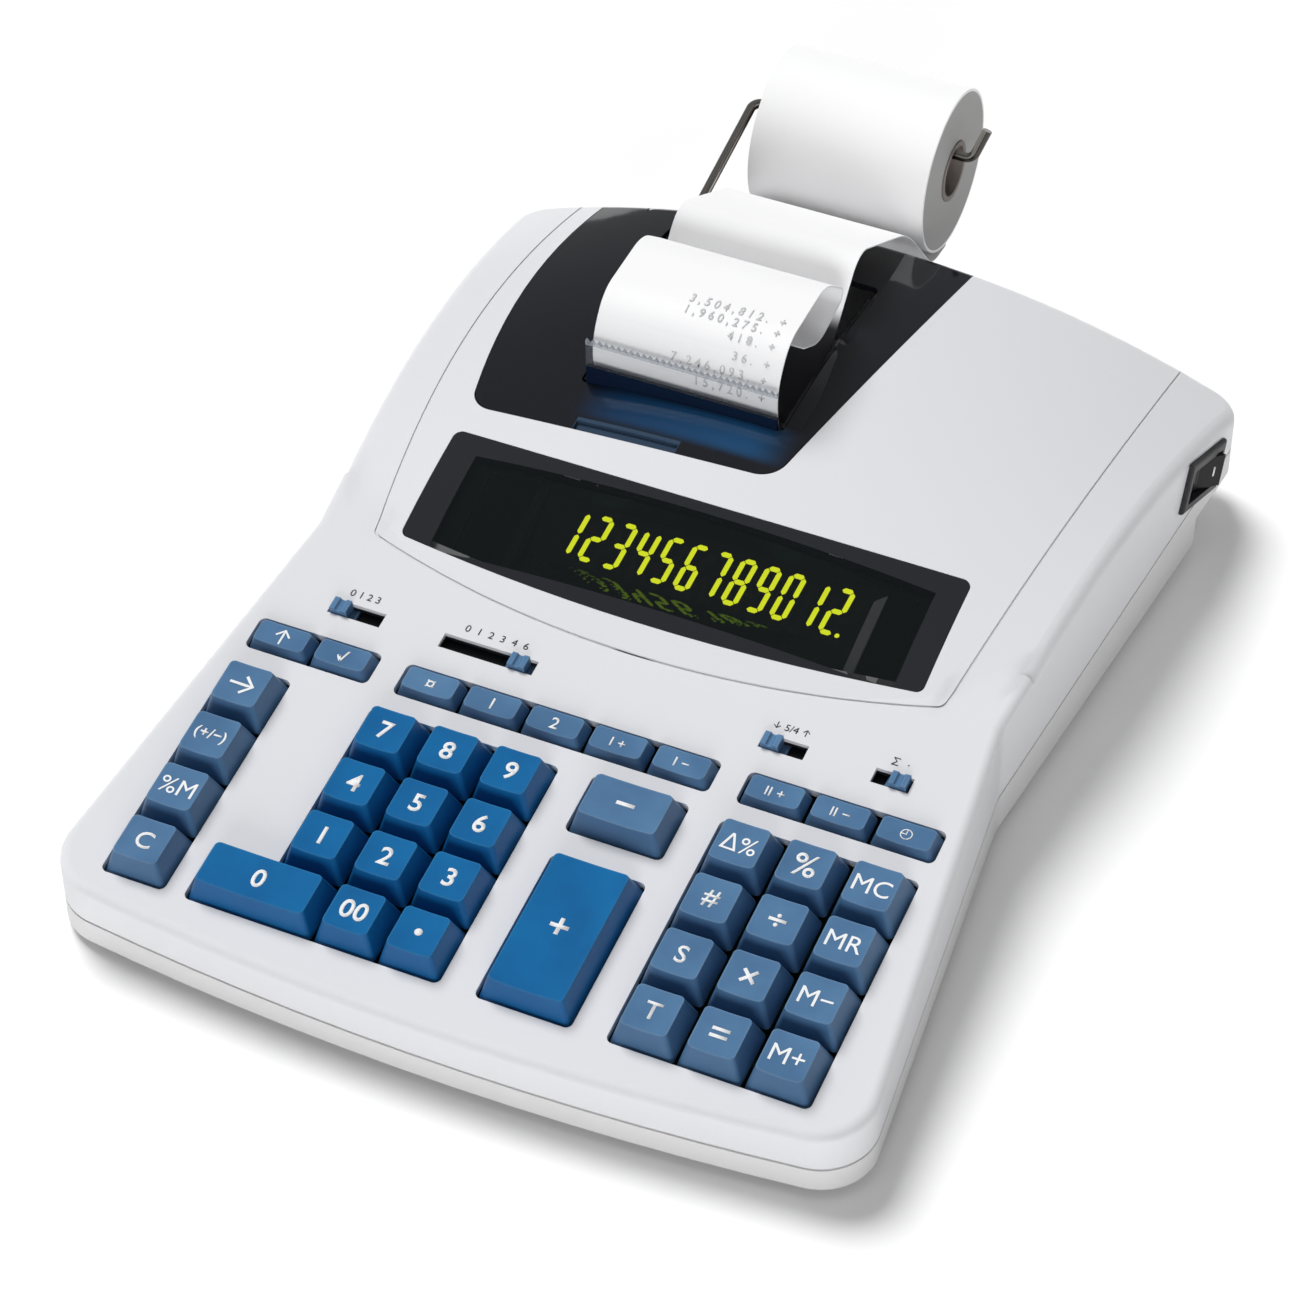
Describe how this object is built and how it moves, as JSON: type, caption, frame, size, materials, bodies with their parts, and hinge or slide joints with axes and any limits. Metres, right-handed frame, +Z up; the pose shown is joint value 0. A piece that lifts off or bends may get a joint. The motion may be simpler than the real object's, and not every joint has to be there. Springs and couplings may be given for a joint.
{
  "type": "printing calculator",
  "caption": "Desktop printing calculator with a sloping keyboard, a window for its digits, a dark printer cover and a paper roll on a wire arm.",
  "frame": {"origin": "on the table under the middle of the whole calculator, roll included", "axes": "+X to the right of the person who types, +Y from the keyboard to the back, +Z up"},
  "size_m": [0.2393, 0.3798, 0.0879],
  "materials": {
    "casing_plastic": "satin",
    "key_blue": "satin",
    "key_slate": "satin",
    "smoked_plastic": "polished",
    "clear_plastic": "clear",
    "tube_glass": "polished",
    "board": "satin",
    "mechanism_plastic": "matte",
    "rubber": "matte",
    "wire": "polished",
    "paper": "matte"
  },
  "bodies": {
    "casing": {"upper_casing": "casing_plastic", "lower_casing": "casing_plastic", "display_window": "smoked_plastic", "display_tube": "tube_glass", "circuit_board": "board", "printer_frame": "mechanism_plastic", "paper_strip": "paper", "power_switch_body": "mechanism_plastic", "rubber_feet": "rubber"},
    "printer_cover": {"printer_cover": "smoked_plastic", "tear_bar": "clear_plastic"},
    "paper_arm": {"paper_arm": "wire"},
    "paper_roll": {"paper_roll": "paper"},
    "feed_roller": {"feed_roller": "rubber"},
    "ink_roller": {"ink_roller": "rubber"},
    "power_rocker": {"power_rocker": "mechanism_plastic"},
    "key_clear": {"key_clear": "key_slate"},
    "key_margin": {"key_margin": "key_slate"},
    "key_sign": {"key_sign": "key_slate"},
    "key_backspace": {"key_backspace": "key_slate"},
    "key_paper_feed": {"key_paper_feed": "key_slate"},
    "key_root": {"key_root": "key_slate"},
    "key_currency": {"key_currency": "key_slate"},
    "key_local": {"key_local": "key_slate"},
    "key_rate": {"key_rate": "key_slate"},
    "key_tax_1_add": {"key_tax_1_add": "key_slate"},
    "key_tax_1_less": {"key_tax_1_less": "key_slate"},
    "key_tax_2_add": {"key_tax_2_add": "key_slate"},
    "key_tax_2_less": {"key_tax_2_less": "key_slate"},
    "key_clock": {"key_clock": "key_slate"},
    "key_minus": {"key_minus": "key_slate"},
    "key_total": {"key_total": "key_slate"},
    "key_subtotal": {"key_subtotal": "key_slate"},
    "key_number_date": {"key_number_date": "key_slate"},
    "key_percent_change": {"key_percent_change": "key_slate"},
    "key_equals": {"key_equals": "key_slate"},
    "key_times": {"key_times": "key_slate"},
    "key_divide": {"key_divide": "key_slate"},
    "key_percent": {"key_percent": "key_slate"},
    "key_memory_add": {"key_memory_add": "key_slate"},
    "key_memory_less": {"key_memory_less": "key_slate"},
    "key_memory_recall": {"key_memory_recall": "key_slate"},
    "key_memory_clear": {"key_memory_clear": "key_slate"},
    "key_0": {"key_0": "key_blue"},
    "key_1": {"key_1": "key_blue"},
    "key_2": {"key_2": "key_blue"},
    "key_3": {"key_3": "key_blue"},
    "key_4": {"key_4": "key_blue"},
    "key_5": {"key_5": "key_blue"},
    "key_6": {"key_6": "key_blue"},
    "key_7": {"key_7": "key_blue"},
    "key_8": {"key_8": "key_blue"},
    "key_9": {"key_9": "key_blue"},
    "key_00": {"key_00": "key_blue"},
    "key_point": {"key_point": "key_blue"},
    "key_plus": {"key_plus": "key_blue"},
    "slide_print_mode": {"slide_print_mode": "key_blue"},
    "slide_decimal": {"slide_decimal": "key_blue"},
    "slide_rounding": {"slide_rounding": "key_blue"},
    "slide_grand_total": {"slide_grand_total": "key_blue"}
  },
  "joints": [
    {"name": "slide_print_mode_travel", "type": "slide", "parent": "casing", "child": "slide_print_mode", "axis": [1, 0, 0], "range_m": [0, 0.0097]},
    {"name": "slide_decimal_travel", "type": "slide", "parent": "casing", "child": "slide_decimal", "axis": [1, 0, 0], "range_m": [-0.021, 0.0021]},
    {"name": "slide_rounding_travel", "type": "slide", "parent": "casing", "child": "slide_rounding", "axis": [1, 0, 0], "range_m": [0, 0.0068]},
    {"name": "slide_grand_total_travel", "type": "slide", "parent": "casing", "child": "slide_grand_total", "axis": [1, 0, 0], "range_m": [-0.0042, 0]},
    {"name": "power_rocker_tilt", "type": "hinge", "parent": "casing", "child": "power_rocker", "pos_m": [0.11424, 0.09017, 0.0295], "axis": [0.0286, 0.3408, 0.9397], "range_deg": [0, 24]},
    {"name": "printer_cover_hinge", "type": "hinge", "parent": "casing", "child": "printer_cover", "pos_m": [-0.0245, 0.1203, 0.0435], "axis": [-1, 0, 0], "range_deg": [0, 35], "deforming": ["paper_strip"]},
    {"name": "paper_arm_pivot", "type": "hinge", "parent": "casing", "child": "paper_arm", "pos_m": [-0.059, 0.104, 0.0485], "axis": [1, 0, 0], "range_deg": [0, 50], "deforming": ["paper_strip"]},
    {"name": "paper_roll_spin", "type": "hinge", "parent": "paper_arm", "child": "paper_roll", "pos_m": [-0.021, 0.164, 0.0565], "axis": [1, 0, 0], "continuous": true},
    {"name": "feed_roller_spin", "type": "hinge", "parent": "casing", "child": "feed_roller", "pos_m": [-0.021, 0.037, 0.0405], "axis": [1, 0, 0], "continuous": true},
    {"name": "ink_roller_spin", "type": "hinge", "parent": "casing", "child": "ink_roller", "pos_m": [-0.021, 0.011, 0.0445], "axis": [1, 0, 0], "continuous": true},
    {"name": "key_clear_press", "type": "slide", "parent": "casing", "child": "key_clear", "axis": [0, 0.1409, -0.99], "range_m": [0, 0.003], "stiffness_N_per_m": 150, "springref_m": -0.002},
    {"name": "key_margin_press", "type": "slide", "parent": "casing", "child": "key_margin", "axis": [0, 0.1409, -0.99], "range_m": [0, 0.003], "stiffness_N_per_m": 150, "springref_m": -0.002},
    {"name": "key_sign_press", "type": "slide", "parent": "casing", "child": "key_sign", "axis": [0, 0.1409, -0.99], "range_m": [0, 0.003], "stiffness_N_per_m": 150, "springref_m": -0.002},
    {"name": "key_backspace_press", "type": "slide", "parent": "casing", "child": "key_backspace", "axis": [0, 0.1409, -0.99], "range_m": [0, 0.003], "stiffness_N_per_m": 150, "springref_m": -0.002},
    {"name": "key_paper_feed_press", "type": "slide", "parent": "casing", "child": "key_paper_feed", "axis": [0, 0.1409, -0.99], "range_m": [0, 0.003], "stiffness_N_per_m": 150, "springref_m": -0.002},
    {"name": "key_root_press", "type": "slide", "parent": "casing", "child": "key_root", "axis": [0, 0.1409, -0.99], "range_m": [0, 0.003], "stiffness_N_per_m": 150, "springref_m": -0.002},
    {"name": "key_currency_press", "type": "slide", "parent": "casing", "child": "key_currency", "axis": [0, 0.1409, -0.99], "range_m": [0, 0.003], "stiffness_N_per_m": 150, "springref_m": -0.002},
    {"name": "key_local_press", "type": "slide", "parent": "casing", "child": "key_local", "axis": [0, 0.1409, -0.99], "range_m": [0, 0.003], "stiffness_N_per_m": 150, "springref_m": -0.002},
    {"name": "key_rate_press", "type": "slide", "parent": "casing", "child": "key_rate", "axis": [0, 0.1409, -0.99], "range_m": [0, 0.003], "stiffness_N_per_m": 150, "springref_m": -0.002},
    {"name": "key_tax_1_add_press", "type": "slide", "parent": "casing", "child": "key_tax_1_add", "axis": [0, 0.1409, -0.99], "range_m": [0, 0.003], "stiffness_N_per_m": 150, "springref_m": -0.002},
    {"name": "key_tax_1_less_press", "type": "slide", "parent": "casing", "child": "key_tax_1_less", "axis": [0, 0.1409, -0.99], "range_m": [0, 0.003], "stiffness_N_per_m": 150, "springref_m": -0.002},
    {"name": "key_tax_2_add_press", "type": "slide", "parent": "casing", "child": "key_tax_2_add", "axis": [0, 0.1409, -0.99], "range_m": [0, 0.003], "stiffness_N_per_m": 150, "springref_m": -0.002},
    {"name": "key_tax_2_less_press", "type": "slide", "parent": "casing", "child": "key_tax_2_less", "axis": [0, 0.1409, -0.99], "range_m": [0, 0.003], "stiffness_N_per_m": 150, "springref_m": -0.002},
    {"name": "key_clock_press", "type": "slide", "parent": "casing", "child": "key_clock", "axis": [0, 0.1409, -0.99], "range_m": [0, 0.003], "stiffness_N_per_m": 150, "springref_m": -0.002},
    {"name": "key_minus_press", "type": "slide", "parent": "casing", "child": "key_minus", "axis": [0, 0.1409, -0.99], "range_m": [0, 0.003], "stiffness_N_per_m": 150, "springref_m": -0.002},
    {"name": "key_total_press", "type": "slide", "parent": "casing", "child": "key_total", "axis": [0, 0.1409, -0.99], "range_m": [0, 0.003], "stiffness_N_per_m": 150, "springref_m": -0.002},
    {"name": "key_subtotal_press", "type": "slide", "parent": "casing", "child": "key_subtotal", "axis": [0, 0.1409, -0.99], "range_m": [0, 0.003], "stiffness_N_per_m": 150, "springref_m": -0.002},
    {"name": "key_number_date_press", "type": "slide", "parent": "casing", "child": "key_number_date", "axis": [0, 0.1409, -0.99], "range_m": [0, 0.003], "stiffness_N_per_m": 150, "springref_m": -0.002},
    {"name": "key_percent_change_press", "type": "slide", "parent": "casing", "child": "key_percent_change", "axis": [0, 0.1409, -0.99], "range_m": [0, 0.003], "stiffness_N_per_m": 150, "springref_m": -0.002},
    {"name": "key_equals_press", "type": "slide", "parent": "casing", "child": "key_equals", "axis": [0, 0.1409, -0.99], "range_m": [0, 0.003], "stiffness_N_per_m": 150, "springref_m": -0.002},
    {"name": "key_times_press", "type": "slide", "parent": "casing", "child": "key_times", "axis": [0, 0.1409, -0.99], "range_m": [0, 0.003], "stiffness_N_per_m": 150, "springref_m": -0.002},
    {"name": "key_divide_press", "type": "slide", "parent": "casing", "child": "key_divide", "axis": [0, 0.1409, -0.99], "range_m": [0, 0.003], "stiffness_N_per_m": 150, "springref_m": -0.002},
    {"name": "key_percent_press", "type": "slide", "parent": "casing", "child": "key_percent", "axis": [0, 0.1409, -0.99], "range_m": [0, 0.003], "stiffness_N_per_m": 150, "springref_m": -0.002},
    {"name": "key_memory_add_press", "type": "slide", "parent": "casing", "child": "key_memory_add", "axis": [0, 0.1409, -0.99], "range_m": [0, 0.003], "stiffness_N_per_m": 150, "springref_m": -0.002},
    {"name": "key_memory_less_press", "type": "slide", "parent": "casing", "child": "key_memory_less", "axis": [0, 0.1409, -0.99], "range_m": [0, 0.003], "stiffness_N_per_m": 150, "springref_m": -0.002},
    {"name": "key_memory_recall_press", "type": "slide", "parent": "casing", "child": "key_memory_recall", "axis": [0, 0.1409, -0.99], "range_m": [0, 0.003], "stiffness_N_per_m": 150, "springref_m": -0.002},
    {"name": "key_memory_clear_press", "type": "slide", "parent": "casing", "child": "key_memory_clear", "axis": [0, 0.1409, -0.99], "range_m": [0, 0.003], "stiffness_N_per_m": 150, "springref_m": -0.002},
    {"name": "key_0_press", "type": "slide", "parent": "casing", "child": "key_0", "axis": [0, 0.1409, -0.99], "range_m": [0, 0.003], "stiffness_N_per_m": 150, "springref_m": -0.002},
    {"name": "key_1_press", "type": "slide", "parent": "casing", "child": "key_1", "axis": [0, 0.1409, -0.99], "range_m": [0, 0.003], "stiffness_N_per_m": 150, "springref_m": -0.002},
    {"name": "key_2_press", "type": "slide", "parent": "casing", "child": "key_2", "axis": [0, 0.1409, -0.99], "range_m": [0, 0.003], "stiffness_N_per_m": 150, "springref_m": -0.002},
    {"name": "key_3_press", "type": "slide", "parent": "casing", "child": "key_3", "axis": [0, 0.1409, -0.99], "range_m": [0, 0.003], "stiffness_N_per_m": 150, "springref_m": -0.002},
    {"name": "key_4_press", "type": "slide", "parent": "casing", "child": "key_4", "axis": [0, 0.1409, -0.99], "range_m": [0, 0.003], "stiffness_N_per_m": 150, "springref_m": -0.002},
    {"name": "key_5_press", "type": "slide", "parent": "casing", "child": "key_5", "axis": [0, 0.1409, -0.99], "range_m": [0, 0.003], "stiffness_N_per_m": 150, "springref_m": -0.002},
    {"name": "key_6_press", "type": "slide", "parent": "casing", "child": "key_6", "axis": [0, 0.1409, -0.99], "range_m": [0, 0.003], "stiffness_N_per_m": 150, "springref_m": -0.002},
    {"name": "key_7_press", "type": "slide", "parent": "casing", "child": "key_7", "axis": [0, 0.1409, -0.99], "range_m": [0, 0.003], "stiffness_N_per_m": 150, "springref_m": -0.002},
    {"name": "key_8_press", "type": "slide", "parent": "casing", "child": "key_8", "axis": [0, 0.1409, -0.99], "range_m": [0, 0.003], "stiffness_N_per_m": 150, "springref_m": -0.002},
    {"name": "key_9_press", "type": "slide", "parent": "casing", "child": "key_9", "axis": [0, 0.1409, -0.99], "range_m": [0, 0.003], "stiffness_N_per_m": 150, "springref_m": -0.002},
    {"name": "key_00_press", "type": "slide", "parent": "casing", "child": "key_00", "axis": [0, 0.1409, -0.99], "range_m": [0, 0.003], "stiffness_N_per_m": 150, "springref_m": -0.002},
    {"name": "key_point_press", "type": "slide", "parent": "casing", "child": "key_point", "axis": [0, 0.1409, -0.99], "range_m": [0, 0.003], "stiffness_N_per_m": 150, "springref_m": -0.002},
    {"name": "key_plus_press", "type": "slide", "parent": "casing", "child": "key_plus", "axis": [0, 0.1409, -0.99], "range_m": [0, 0.003], "stiffness_N_per_m": 150, "springref_m": -0.002}
  ],
  "couplings": [
    {"joint": "feed_roller_spin", "follows": "paper_roll_spin", "ratio": 2.7957}
  ]
}
